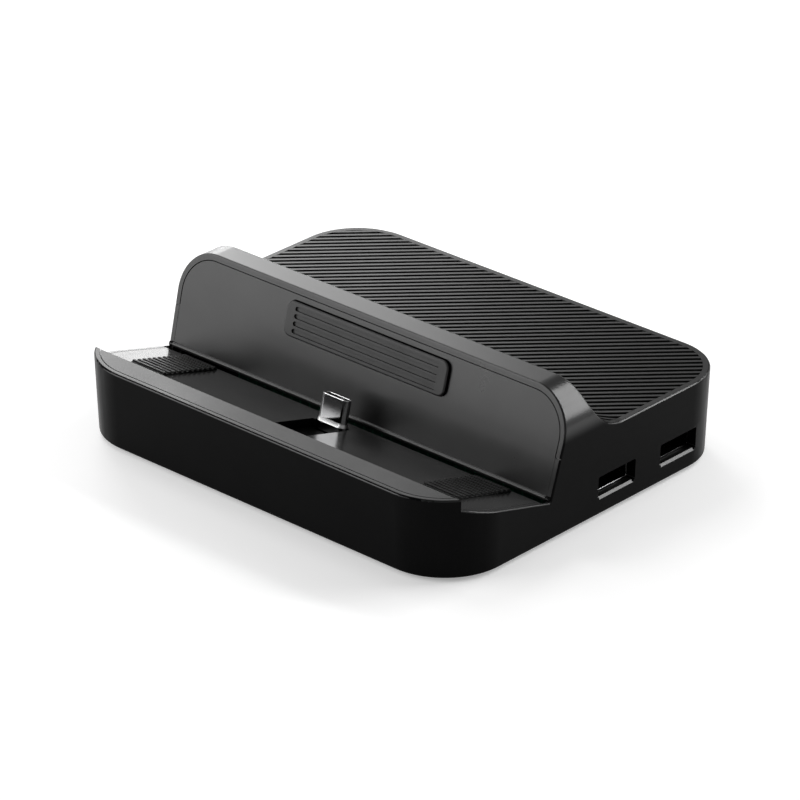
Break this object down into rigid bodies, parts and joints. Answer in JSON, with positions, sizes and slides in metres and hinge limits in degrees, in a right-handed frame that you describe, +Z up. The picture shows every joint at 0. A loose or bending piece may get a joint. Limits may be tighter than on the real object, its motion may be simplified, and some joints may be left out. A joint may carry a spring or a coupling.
{
  "type": "handheld console dock",
  "caption": "Low black dock for a handheld games console: leaning cradle with an upright plug, ribbed rear deck, side sockets and rear video and power sockets.",
  "frame": {"origin": "middle of the bounding box in plan, at the soles of the feet", "axes": "+X to the right along the width, +Y to the back where the video and power sockets are, +Z up"},
  "size_m": [0.1258, 0.1027, 0.0362],
  "materials": {
    "shell_plastic": "satin black moulding",
    "deck_plastic": "satin black, ribbed",
    "tray_plastic": "satin black",
    "backrest_plastic": "satin black",
    "pad_rubber": "soft black, grooved",
    "plug_metal": "bright plated steel",
    "socket_metal": "plated sheet steel",
    "socket_plastic": "black insulator",
    "contact_metal": "gold-plated strip",
    "board_laminate": "green circuit board",
    "chip_plastic": "black chip package",
    "screw_steel": "zinc-plated steel",
    "base_plastic": "fine matt black",
    "foot_rubber": "matt black rubber"
  },
  "bodies": {
    "root": {"housing": "shell_plastic", "deck_panel": "deck_plastic", "cradle_tray": "tray_plastic", "backrest_panel": "backrest_plastic", "backrest_pad": "pad_rubber", "grip_pad_left": "pad_rubber", "grip_pad_right": "pad_rubber", "plug_shell": "plug_metal", "plug_core": "socket_plastic", "plug_contacts": "contact_metal", "plug_carrier": "socket_plastic", "plug_board": "board_laminate", "plug_screws": "screw_steel", "side_socket_shell_front": "socket_metal", "side_socket_shell_rear": "socket_metal", "side_socket_tongue_front": "socket_plastic", "side_socket_tongue_rear": "socket_plastic", "side_socket_strips_front": "contact_metal", "side_socket_strips_rear": "contact_metal", "video_socket_shell": "socket_metal", "video_socket_tongue": "socket_plastic", "power_socket_shell": "socket_metal", "power_socket_tongue": "socket_plastic", "main_board": "board_laminate", "hub_chip": "chip_plastic", "video_chip": "chip_plastic", "board_screws": "screw_steel", "base_plate": "base_plastic", "base_screws": "screw_steel", "foot_front_left": "foot_rubber", "foot_front_right": "foot_rubber", "foot_back_left": "foot_rubber", "foot_back_right": "foot_rubber"}
  },
  "joints": []
}
